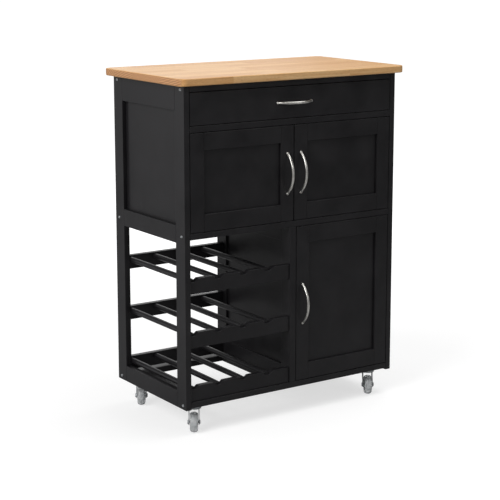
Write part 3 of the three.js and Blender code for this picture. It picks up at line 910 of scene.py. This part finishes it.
@dataclass
class Divider:
    """The framed wall between the bottle rack and the lower cupboard, recessed on both faces."""

    stile: float = 38 * MM
    rail: float = 40 * MM
    recess: float = 6 * MM

    def build(self) -> None:
        """Builds the stiles, the rails and the web."""
        low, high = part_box("divider")
        inside = (low.y + self.stile, high.y - self.stile)
        mesh = bmesh.new()
        for start, end in ((low.y, inside[0]), (inside[1], high.y)):
            prism(mesh, rectangle((low.x, start), (high.x, end)), Axis.Z, low.z, high.z)
        for bottom, top in ((low.z, low.z + self.rail), (high.z - self.rail, high.z)):
            prism(mesh, rectangle((low.x, bottom), (high.x, top)), Axis.Y, *inside)
        prism(mesh, rectangle((low.x + self.recess, inside[0]), (high.x - self.recess, inside[1])), Axis.Z,
              low.z + self.rail, high.z - self.rail, 0)
        finished("divider_stiles_rails_and_panel", mesh, PAINT, Body.CABINET, ["divider"])


@dataclass
class BottleRack:
    """Three tiers of dowels, each between a notched front rail and a plain back rail."""

    tiers: int = 3
    dowels: int = 4
    notch_top: float = 32 * MM
    notch_bottom: float = 12 * MM
    notch_depth: float = 8 * MM

    def section(self, low: Vector, high: Vector, middles: Sequence[float]) -> list[Flat]:
        """Outlines a rail seen from the front, with a notch over each dowel.

        Args:
            low: the rail's lowest corner.
            high: its highest corner.
            middles: the notches' middles, from right to left, or none for a plain rail.

        Returns:
            The outline's points.
        """
        points: list[Flat] = [(low.x, low.z), (high.x, low.z), (high.x, high.z)]
        floor = high.z - self.notch_depth
        for x in middles:
            points += [(x + self.notch_top / 2, high.z), (x + self.notch_bottom / 2, floor)]
            if x - self.notch_top / 2 > low.x:
                points += [(x - self.notch_bottom / 2, floor), (x - self.notch_top / 2, high.z)]
                continue
            fall = self.notch_depth * (low.x - (x - self.notch_top / 2)) / (self.notch_top - self.notch_bottom) * 2
            points += [(x - self.notch_bottom / 2, floor), (low.x, high.z - fall)]
        if points[-1][0] > low.x:
            points.append((low.x, high.z))
        return points

    def build(self) -> None:
        """Builds every tier's rails and dowels."""
        tree = self.tree()
        for tier in range(1, self.tiers + 1):
            nodes = [f"rack_{tier}_dowel_{i + 1}" for i in range(self.dowels)]
            boxes = [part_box(node) for node in nodes]
            middles = sorted(((low.x + high.x) / 2 for low, high in boxes), reverse=True)
            for row in ("front", "back"):
                low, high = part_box(f"rack_{tier}_{row}_rail")
                cuts = middles if row == "front" else []
                mesh = bmesh.new()
                prism(mesh, self.section(low, high, cuts), Axis.Y, low.y, high.y)
                finished(f"rack_{tier}_{row}_board", mesh, PAINT, Body.CABINET, [f"rack_{tier}_{row}_rail"])
            low, high = boxes[0]
            seed = bpy.data.meshes.new("dowel_seats")
            seed.from_pydata([(low + high) / 2 for low, high in boxes], [], [])
            baked(f"rack_{tier}_dowels", seed, tree, {
                "Radius": (high.z - low.z) / 2, "Length": high.y - low.y, "Finish": PAINT.material()},
                Body.CABINET, nodes)

    def tree(self) -> bpy.types.NodeTree:
        """Returns the tree that sets a dowel with bevelled ends on every point."""
        tree = bpy.data.node_groups.new("rack_dowels", "GeometryNodeTree")
        for label, kind in (("Middles", "NodeSocketGeometry"), ("Radius", "NodeSocketFloat"),
                            ("Length", "NodeSocketFloat"), ("Finish", "NodeSocketMaterial")):
            tree.interface.new_socket(label, in_out="INPUT", socket_type=kind)
        tree.interface.new_socket("Dowels", in_out="OUTPUT", socket_type="NodeSocketGeometry")
        given = add_node(tree, "NodeGroupInput").outputs
        rod = add_node(tree, "GeometryNodeMeshCylinder", {
            "Vertices": 40, "Side Segments": 5, "Radius": given["Radius"], "Depth": given["Length"]},
            fill_type="NGON")
        ends = add_node(tree, "FunctionNodeBooleanMath", {
            0: rod.outputs["Top"], 1: rod.outputs["Bottom"]}, operation="OR")
        eased = add_node(tree, "GeometryNodeScaleElements", {
            0: rod.outputs["Mesh"], 1: ends.outputs[0], "Scale": 0.9}, domain="FACE")
        placed = add_node(tree, "GeometryNodeInstanceOnPoints", {
            "Points": given["Middles"], "Instance": eased.outputs[0], "Rotation": (math.pi / 2, 0.0, 0.0)})
        real = add_node(tree, "GeometryNodeRealizeInstances", {0: placed.outputs[0]})
        dressed = add_node(tree, "GeometryNodeSetMaterial", {0: real.outputs[0], "Material": given["Finish"]})
        add_node(tree, "NodeGroupOutput", {0: dressed.outputs[0]})
        return tree


# ---- Handles, doors and drawer ----
@dataclass
class BowHandle:
    """A slim cast bow on two round feet, with its screws on the far side of the board."""

    node: str
    body: Body
    through: float
    rod: float = 3.2 * MM
    rod_end: float = 2.4 * MM
    foot_radius: float = 4.6 * MM
    foot_height: float = 3 * MM
    foot_share: float = 0.8
    steps: int = 40

    def build(self) -> None:
        """Builds the bow, its feet and its screws."""
        low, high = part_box(self.node)
        middle = (low + high) / 2
        along = Vector((1, 0, 0)) if high.x - low.x > high.z - low.z else Vector((0, 0, 1))
        half = ((high - low).dot(along)) / 2 - self.foot_radius
        rise = high.y - low.y - self.rod
        radius = (half ** 2 + rise ** 2) / (2 * rise)
        reach = math.asin(half / radius)
        side = Vector((0, 1, 0)).cross(along)
        path, radii = [], []
        for i in range(self.steps + 1):
            t = i / self.steps
            angle = (2 * t - 1) * reach
            out = radius * math.cos(angle) - (radius - rise)
            path.append(Vector((middle.x, high.y - out, middle.z)) + along * radius * math.sin(angle))
            swell = math.sin(math.pi * t) ** 0.7
            thick = self.rod_end + (self.rod - self.rod_end) * swell
            radii.append((thick * 1.08, thick))
        mesh = bmesh.new()
        swept(mesh, path, radii, side)
        ends = (-half, half)
        for end in ends:
            seat = Vector((middle.x, high.y, middle.z)) + along * end
            h, r = self.foot_height, self.foot_share * self.foot_radius
            turned(mesh, [(0, 0), (r, 0), (r, 0.45 * h), (0.9 * r, 0.7 * h), (0.66 * r, 0.9 * h),
                          (0.6 * r, 1.2 * h), (0, 1.2 * h)], facing(seat, Vector((0, -1, 0))), 32)
        finished(f"{self.node}_bow", mesh, NICKEL, self.body, [self.node], 50)
        SCREWS.place(f"{self.node}_screws", self.body, [
            (tuple(Vector((middle.x, self.through, middle.z)) + along * end), (0, 1, 0)) for end in ends])


@dataclass
class ConcealedHinge:
    """A small cup hinge: the cup on the door, the arm on its plate on the frame, and the link between."""

    door: Body
    side: Side
    number: int
    level: float
    cup_inset: float = 17.5 * MM
    cup_radius: float = 13 * MM
    wing_half: float = 5 * MM
    wing_sheet: float = 0.8 * MM
    plate_sheet: float = 2 * MM
    plate_span: Flat = (6 * MM, 25 * MM)
    plate_half: float = 17 * MM
    arm_half: float = 6 * MM
    arm_height: float = 9 * MM
    arm_forward: float = 3 * MM
    screw_reach: float = 12 * MM
    link_radii: Flat = (4 * MM, 1 * MM)

    def build(self) -> None:
        """Builds the cup, the arm with its plate and screws, and the link."""
        s = self.side.value
        name = f"{self.door.value}_hinge_{self.number}"
        low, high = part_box(f"{self.door.value}_frame")
        edge = low.x if s < 0 else high.x
        post_low, post_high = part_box(f"{self.side.name.lower()}_side_frame")
        wall = post_high.x if s < 0 else post_low.x
        r, z = self.cup_radius, self.level
        cup_at = Vector((edge - s * self.cup_inset, high.y, z))
        mesh = bmesh.new()
        turned(mesh, [(0, 0), (r, 0), (r, 0.8 * MM), (r - 1 * MM, 1.6 * MM), (r - 2.5 * MM, 1.6 * MM),
                      (r - 3.5 * MM, 0.5 * MM), (0, 0.5 * MM)], facing(cup_at, Vector((0, 1, 0))), 36)
        wing = rectangle((cup_at.x - self.wing_half, z - 1.75 * r), (cup_at.x + self.wing_half, z + 1.75 * r))
        prism(mesh, wing, Axis.Y, high.y, high.y + self.wing_sheet, SHEET_EASE)
        finished(f"{name}_cup", mesh, ZINC, self.door, smooth=40)
        SMALL_SCREWS.place(f"{name}_cup_screws", self.door, [
            ((cup_at.x, high.y + self.wing_sheet, z + end * 1.45 * r), (0, 1, 0)) for end in (-1, 1)])
        plate_y = (high.y + self.plate_span[0], high.y + self.plate_span[1])
        plate_face, arm_face = wall - s * self.plate_sheet, wall - s * self.arm_height
        mesh = bmesh.new()
        plate = rectangle((plate_y[0], z - self.plate_half), (plate_y[1], z + self.plate_half))
        prism(mesh, plate, Axis.X, *sorted((wall, plate_face)), 0.4 * MM)
        arm = rectangle((plate_y[0] - self.arm_forward, z - self.arm_half),
                        (plate_y[1] - self.arm_forward, z + self.arm_half))
        prism(mesh, arm, Axis.X, *sorted((plate_face, arm_face)), 1.2 * MM)
        finished(f"{name}_arm", mesh, ZINC, Body.CABINET)
        middle = sum(plate_y) / 2
        SMALL_SCREWS.place(f"{name}_arm_screws", Body.CABINET, [
            ((plate_face, middle, z - self.screw_reach), (-s, 0, 0)),
            ((arm_face, middle - self.arm_forward, z), (-s, 0, 0)),
            ((plate_face, middle, z + self.screw_reach), (-s, 0, 0))])
        start = Vector((wall - s * 6 * MM, plate_y[0] - 1 * MM, z))
        self.link(name, start, cup_at + Vector((0, self.wing_sheet, 0)))

    def link(self, name: str, start: Vector, end: Vector, steps: int = 16) -> None:
        """Builds the link, a straight rod from the arm at one end to the cup at the other; it rides on no body.

        Args:
            name: the hinge's name.
            start: where it leaves the arm.
            end: where it enters the cup.
            steps: how many lengths it has.
        """
        mesh = bmesh.new()
        path = [start.lerp(end, i / steps) for i in range(steps + 1)]
        swept(mesh, path, [self.link_radii] * (steps + 1), Vector((0, 0, 1)), 12)
        data = bpy.data.meshes.new(f"{name}_link")
        mesh.to_mesh(data)
        mesh.free()
        data.materials.append(ZINC.material())
        piece = bpy.data.objects.new(f"{name}_link", data)
        bpy.context.scene.collection.objects.link(piece)
        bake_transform(piece)
        log.info("%s bends between the cabinet and %s", piece.name, self.door.value)


@dataclass
class Door:
    """A framed door: two stiles and two rails rebated for a thin panel, a bow handle and two concealed hinges."""

    body: Body
    hinge_side: Side
    stile: float = 38 * MM
    rail: float = 42 * MM
    lip: float = 6.5 * MM
    rebate: float = 7 * MM
    hinge_inset: float = 52 * MM

    def build(self) -> None:
        """Builds the frame, the panel, the handle and the hinges."""
        name = self.body.value
        low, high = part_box(f"{name}_frame")
        deep = high.y - low.y - self.lip
        inside = (low.x + self.stile, high.x - self.stile)
        mesh = bmesh.new()
        for start, end, su in ((low.x, inside[0], 1), (inside[1], high.x, -1)):
            section = rectangle((start, low.y), (end, high.y), {(su, 1): (self.rebate, deep)})
            prism(mesh, section, Axis.Z, low.z, high.z)
            # The rails' shoulders fill the ends of the stile's rebate.
            shoulder = sorted((end, end - self.rebate)) if su > 0 else sorted((start, start + self.rebate))
            section = rectangle((shoulder[0], high.y - deep), (shoulder[1], high.y))
            reach = self.rail - self.rebate
            for bottom, top in ((low.z, low.z + reach), (high.z - reach, high.z)):
                prism(mesh, section, Axis.Z, bottom, top, 0)
        for bottom, top, sv in ((low.z, low.z + self.rail, 1), (high.z - self.rail, high.z, -1)):
            section = rectangle((low.y, bottom), (high.y, top), {(1, sv): (deep, self.rebate)})
            prism(mesh, section, Axis.X, *inside)
        finished(f"{name}_stiles_and_rails", mesh, PAINT, self.body, [f"{name}_frame"])
        board(f"{name}_panel", PAINT, self.body, SHEET_EASE)
        BowHandle(f"{name}_handle", self.body, high.y).build()
        for number, level in enumerate((low.z + self.hinge_inset, high.z - self.hinge_inset), 1):
            ConcealedHinge(self.body, self.hinge_side, number, level).build()


@dataclass
class Drawer:
    """The drawer: painted front, raw plywood box, bow handle and two telescopic runners."""

    sheet: float = 1.2 * MM
    outer_height: float = 35 * MM
    inner_height: float = 27 * MM
    channel_depth: float = 8.5 * MM
    runner_start: float = -141 * MM
    runner_end: float = 137 * MM
    screw_inset: float = 30 * MM

    def build(self) -> None:
        """Builds the front, the box, the handle and the runners."""
        board("drawer_front", PAINT, Body.DRAWER, 0.8 * MM)
        for node in ("drawer_left_side", "drawer_right_side"):
            board(node, PLY_SIDES, Body.DRAWER)
        board("drawer_back", PLY_BACK, Body.DRAWER)
        board("drawer_bottom", PLY_BOTTOM, Body.DRAWER, SHEET_EASE)
        BowHandle("drawer_handle", Body.DRAWER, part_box("drawer_front")[1].y).build()
        for side in Side:
            self.runner(side)

    def runner(self, side: Side) -> None:
        """Builds one runner: a channel on the cabinet, and the one inside it on the drawer.

        Args:
            side: which side of the drawer it is on.
        """
        s, word = side.value, side.name.lower()
        frame_low, frame_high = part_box(f"{word}_side_frame")
        box_low, box_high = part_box(f"drawer_{word}_side")
        wall = frame_high.x if s < 0 else frame_low.x
        flank = box_low.x if s < 0 else box_high.x
        level = (box_low.z + box_high.z) / 2
        for name, web, way, height, body in (("outer", wall, -s, self.outer_height, Body.CABINET),
                                             ("inner", flank, s, self.inner_height, Body.DRAWER)):
            half, t, d = height / 2, self.sheet, self.channel_depth
            section = [(web, level - half), (web + way * d, level - half), (web + way * d, level - half + t),
                       (web + way * t, level - half + t), (web + way * t, level + half - t),
                       (web + way * d, level + half - t), (web + way * d, level + half), (web, level + half)]
            mesh = bmesh.new()
            prism(mesh, section, Axis.Y, self.runner_start, self.runner_end, 0)
            finished(f"{word}_runner_{name}", mesh, ZINC, body)
            SMALL_SCREWS.place(f"{word}_runner_{name}_screws", body, [
                ((web + way * t, y, level), (way, 0, 0))
                for y in (self.runner_start + self.screw_inset, self.runner_end - self.screw_inset)])


# ---- Casters ----
@dataclass
class Caster:
    """A swivel caster: plate and race on the cabinet, fork on the swivel, hub and tyre on the roller."""

    corner: str
    trail: float = 17 * MM
    trail_angle: float = math.radians(-123)
    sheet: float = 2.5 * MM
    corner_radius: float = 5 * MM
    screw_inset: float = 7 * MM
    crown_top: float = 58.4 * MM
    crown: float = 3 * MM
    race_radius: float = 18 * MM
    wheel_radius: float = 25 * MM
    wheel_half: float = 10 * MM
    leg_gap: float = 11.2 * MM
    leg: float = 2 * MM
    eye_radius: float = 7.5 * MM
    axle_radius: float = 3 * MM
    nut_radius: float = 5.5 * MM
    nut_height: float = 2.6 * MM
    axle_play: float = 0.3 * MM
    tread_round: float = 5.5 * MM
    tyre_seat: float = 17.5 * MM
    boss_radius: float = 8 * MM
    rim_inside: float = 15 * MM
    web_half: float = 2 * MM
    spoke_half: float = 0.7 * MM
    spoke_drop: float = 2.4 * MM
    spokes: int = 6

    def build(self) -> None:
        """Builds the plate, the fork and the wheel."""
        low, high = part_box(f"{self.corner}_caster_plate")
        pin = (low + high) / 2
        self.plate(low, high, pin)
        place = Matrix.Translation((pin.x, pin.y, 0)) @ Matrix.Rotation(self.trail_angle, 4, "Z")
        self.fork(place)
        axle = Matrix.Translation((self.trail, 0, self.wheel_radius)) @ Matrix.Rotation(-math.pi / 2, 4, "X")
        self.wheel(place @ axle)

    def plate(self, low: Vector, high: Vector, pin: Vector) -> None:
        """Builds the plate, its pressed race and its screws.

        Args:
            low: the lowest corner of the plate with its race.
            high: the highest corner.
            pin: its middle, on the kingpin's axis.
        """
        mesh = bmesh.new()
        under = high.z - self.sheet
        prism(mesh, rounded(low.xy, high.xy, self.corner_radius), Axis.Z, under, high.z, 0.5 * MM)
        drop, r = under - low.z, self.race_radius
        turned(mesh, [(0, 0), (r, 0), (r, 0.25 * drop), (r - 1.2 * MM, 0.4 * drop), (r - 3 * MM, 0.5 * drop),
                      (r - 3 * MM, 0.62 * drop), (r - 1 * MM, 0.72 * drop), (r - 1 * MM, 0.95 * drop),
                      (r - 2 * MM, drop), (0, drop)], facing(Vector((pin.x, pin.y, under)), Vector((0, 0, -1))))
        finished(f"{self.corner}_plate_and_race", mesh, ZINC, Body.CABINET, [f"{self.corner}_caster_plate"])
        inset = self.screw_inset
        SCREWS.place(f"{self.corner}_plate_screws", Body.CABINET, [
            ((x, y, under), (0, 0, -1)) for x in (low.x + inset, high.x - inset)
            for y in (low.y + inset, high.y - inset)])

    def fork(self, place: Matrix) -> None:
        """Builds the fork with its kingpin rivet and its bolted axle.

        Args:
            place: where the kingpin meets the floor, with +X along the trail.
        """
        mesh = bmesh.new()
        top, under, r = self.crown_top, self.crown_top - self.crown, self.race_radius
        turned(mesh, [(0, 0), (r - 2 * MM, 0), (r - 0.6 * MM, 0.5 * MM), (r, 1.4 * MM), (r, self.crown),
                      (0, self.crown)], Matrix.Translation((0, 0, under)))
        turned(mesh, [(0, 0), (5 * MM, 0), (4.6 * MM, 1 * MM), (3.4 * MM, 1.8 * MM), (1.6 * MM, 2.3 * MM),
                      (0, 2.4 * MM)], facing(Vector((0, 0, under)), Vector((0, 0, -1))), 24)
        eye = [(self.trail + self.eye_radius * math.cos(math.pi * (1 + k / 12)),
                self.wheel_radius + self.eye_radius * math.sin(math.pi * (1 + k / 12))) for k in range(13)]
        outline = [(r - 4 * MM, top - 0.4 * MM), (6 * MM - r, top - 0.4 * MM), (6 * MM - r, under), *eye]
        for inner in (self.leg_gap, -self.leg_gap - self.leg):
            prism(mesh, outline, Axis.Y, inner, inner + self.leg, 0.4 * MM)
        reach = self.leg_gap + self.leg
        across = Vector((0, 1, 0))
        axle = Vector((self.trail, 0, self.wheel_radius))
        turned(mesh, [(0, -reach), (self.axle_radius, -reach), (self.axle_radius, reach), (0, reach)],
               facing(axle, across), 24)
        for way in (-1, 1):
            nut, top = self.nut_radius, self.nut_height
            turned(mesh, [(0, 0), (nut, 0), (nut, top - 0.6 * MM), (nut - 0.9 * MM, top), (0, top)],
                   facing(axle + across * way * reach, across * way), 6)
        mesh.transform(place)
        finished(f"{self.corner}_fork_and_axle", mesh, ZINC, f"{self.corner}_swivel",
                 [f"{self.corner}_caster_fork"], 32)

    def wheel(self, place: Matrix) -> None:
        """Builds the hub with its spokes, and the clear tyre around it.

        Args:
            place: the wheel's middle, with +Z along the axle.
        """
        half, bore, seat = self.wheel_half, self.axle_radius + self.axle_play, self.tyre_seat
        bend = self.tread_round
        tread = []
        for k in range(17):
            angle = math.pi * (k / 16 - 0.5)
            tread.append((self.wheel_radius - bend + bend * math.cos(angle), half * 0.97 * math.sin(angle)))
        tyre = bmesh.new()
        turned(tyre, [(seat, -half * 0.9), *tread, (seat, half * 0.9)], place, 72)
        finished(f"{self.corner}_tyre", tyre, WHEEL_CLEAR, f"{self.corner}_roller", [f"{self.corner}_wheel"], 45)
        hub = bmesh.new()
        web, boss, rim, draft = self.web_half, self.boss_radius, self.rim_inside, 0.2 * MM
        flank = [(bore, half), (boss - 1 * MM, half), (boss, half - 1 * MM), (boss + draft, web), (rim - draft, web),
                 (rim, half - 1.6 * MM), (seat, half - 1.2 * MM)]
        turned(hub, [(radius, -level) for radius, level in flank] + flank[::-1], place, 48)
        for k in range(self.spokes):
            turn = Matrix.Rotation(math.tau * k / self.spokes, 4, "Z")
            for start, end in ((-half + self.spoke_drop, -web), (web, half - self.spoke_drop)):
                rib = bmesh.new()
                spoke = rectangle((boss - draft, -self.spoke_half), (rim + draft / 2, self.spoke_half))
                prism(rib, spoke, Axis.Z, start, end, 0)
                append(hub, rib, place @ turn)
        finished(f"{self.corner}_hub", hub, HUB_GREY, f"{self.corner}_roller")


# ---- Studio ----
@dataclass(frozen=True)
class PaleFloor(Finish):
    """A matt white floor that fades into the white surroundings, with the object's soft shadow on it."""

    shadow_reach: float = 0.7
    white_from: float = 2.4
    near_glow: float = 0.66

    def dress(self, tree: bpy.types.NodeTree, shader: bpy.types.Node, place: bpy.types.Node) -> None:
        """Builds the finish's nodes.

        Args:
            tree: the material's node tree.
            shader: its Principled BSDF.
            place: its Texture Coordinate node.
        """
        shader.inputs["Base Color"].default_value = linear("b4b4b4")
        shader.inputs["Roughness"].default_value = 1.0
        shader.inputs["Specular IOR Level"].default_value = 0.0
        shader.inputs["Emission Color"].default_value = (1, 1, 1, 1)
        far = add_node(tree, "ShaderNodeVectorMath", {0: place.outputs["Object"]}, operation="LENGTH")
        fade = add_node(tree, "ShaderNodeMapRange", {
            0: far.outputs["Value"], 1: self.shadow_reach, 2: self.white_from, 3: self.near_glow, 4: 1.0})
        # Only the view straight at the floor, or through clear plastic, is lifted to white, so the paint doesn't
        # mirror a glowing floor.
        ray = add_node(tree, "ShaderNodeLightPath")
        seen = add_node(tree, "ShaderNodeMath", {
            0: ray.outputs["Is Camera Ray"], 1: ray.outputs["Is Transmission Ray"]}, operation="MAXIMUM")
        lift = add_node(tree, "ShaderNodeMath", {0: seen.outputs[0], 1: fade.outputs[0]}, operation="MULTIPLY")
        tree.links.new(lift.outputs[0], shader.inputs["Emission Strength"])


@dataclass
class Studio:
    """Pale floor, soft lights and the camera."""

    floor_radius: float = 30.0
    camera_place: Point = (-2.057, -3.008, 1.181)
    yaw: float = 34.23
    pitch: float = 10.59
    lens: float = 104.26
    shift: Flat = (-0.007, -0.08)
    surroundings: float = 0.16

    def build(self) -> None:
        """Builds the floor, the world, the lights and the camera."""
        mesh = bmesh.new()
        bmesh.ops.create_circle(mesh, cap_ends=True, segments=96, radius=self.floor_radius)
        data = bpy.data.meshes.new("floor")
        mesh.to_mesh(data)
        mesh.free()
        data.materials.append(PaleFloor("studio_floor_matt_white", Slot.BLACK_PAINT).material())
        floor = bpy.data.objects.new("floor", data)
        bpy.context.scene.collection.objects.link(floor)
        self.world()
        middle, low = Vector((0, 0, 0.45)), Vector((0, 0, 0.3))
        self.light("key_left", Vector((-3.2, -0.9, 2.3)), middle, 2.0, 90)
        self.light("top", Vector((0.9, -0.2, 3.2)), middle, 2.4, 52)
        self.light("front_fill", Vector((1.6, -3.6, 1.8)), middle, 1.6, 12)
        self.light("back_fill", Vector((1.5, 3.4, 2.2)), middle, 2.0, 12)
        self.light("left_sheen", Vector((-3.4, 2.9, 1.1)), middle, 2.2, 22)
        self.light("ledge_glow", Vector((1.6, 3.4, 0.7)), low, 2.4, 9)
        self.camera()

    def world(self) -> None:
        """Makes the surroundings: white to look at, and dim to light by."""
        world = bpy.data.worlds.new("studio_surroundings")
        world.use_nodes = True
        tree = world.node_tree
        ray = add_node(tree, "ShaderNodeLightPath")
        seen = add_node(tree, "ShaderNodeMath", {
            0: ray.outputs["Is Camera Ray"], 1: ray.outputs["Is Transmission Ray"]}, operation="MAXIMUM")
        strength = add_node(tree, "ShaderNodeMapRange", {0: seen.outputs[0], 3: self.surroundings, 4: 1.0})
        ground = tree.nodes["Background"]
        ground.inputs["Color"].default_value = (1, 1, 1, 1)
        tree.links.new(strength.outputs[0], ground.inputs["Strength"])
        bpy.context.scene.world = world

    def light(self, name: str, place: Vector, aim: Vector, size: float, power: float) -> None:
        """Sets a square soft light.

        Args:
            name: its name.
            place: where it stands.
            aim: what it points at.
            size: its side.
            power: its watts.
        """
        lamp = bpy.data.lights.new(name, "AREA")
        lamp.size = size
        lamp.energy = power
        stand = bpy.data.objects.new(name, lamp)
        stand.matrix_world = Matrix.Translation(place) @ (aim - place).to_track_quat("-Z", "Y").to_matrix().to_4x4()
        bpy.context.scene.collection.objects.link(stand)

    def camera(self) -> None:
        """Sets the camera."""
        data = bpy.data.cameras.new("camera")
        data.lens = self.lens
        data.sensor_width = 36
        data.shift_x, data.shift_y = self.shift
        data.clip_end = 100
        camera = bpy.data.objects.new("camera", data)
        camera.location = self.camera_place
        camera.rotation_euler = (math.radians(90 - self.pitch), 0, -math.radians(self.yaw))
        bpy.context.scene.collection.objects.link(camera)
        bpy.context.scene.camera = camera


def main() -> None:
    """Builds the cart from the worktop down, then the studio."""
    logging.basicConfig(level=logging.INFO, format="%(name)s: %(message)s")
    bpy.context.scene.view_settings.view_transform = "Standard"
    Worktop().build()
    SideFrame(Side.LEFT, open_below=True).build()
    SideFrame(Side.RIGHT, open_below=False).build()
    Carcass().build()
    Divider().build()
    BottleRack().build()
    Drawer().build()
    for body, side in ((Body.UPPER_LEFT_DOOR, Side.LEFT), (Body.UPPER_RIGHT_DOOR, Side.RIGHT),
                       (Body.LOWER_DOOR, Side.RIGHT)):
        Door(body, side).build()
    for corner in ("front_left", "front_right", "back_left", "back_right"):
        Caster(corner).build()
    Studio().build()


if __name__ == "__main__":
    main()
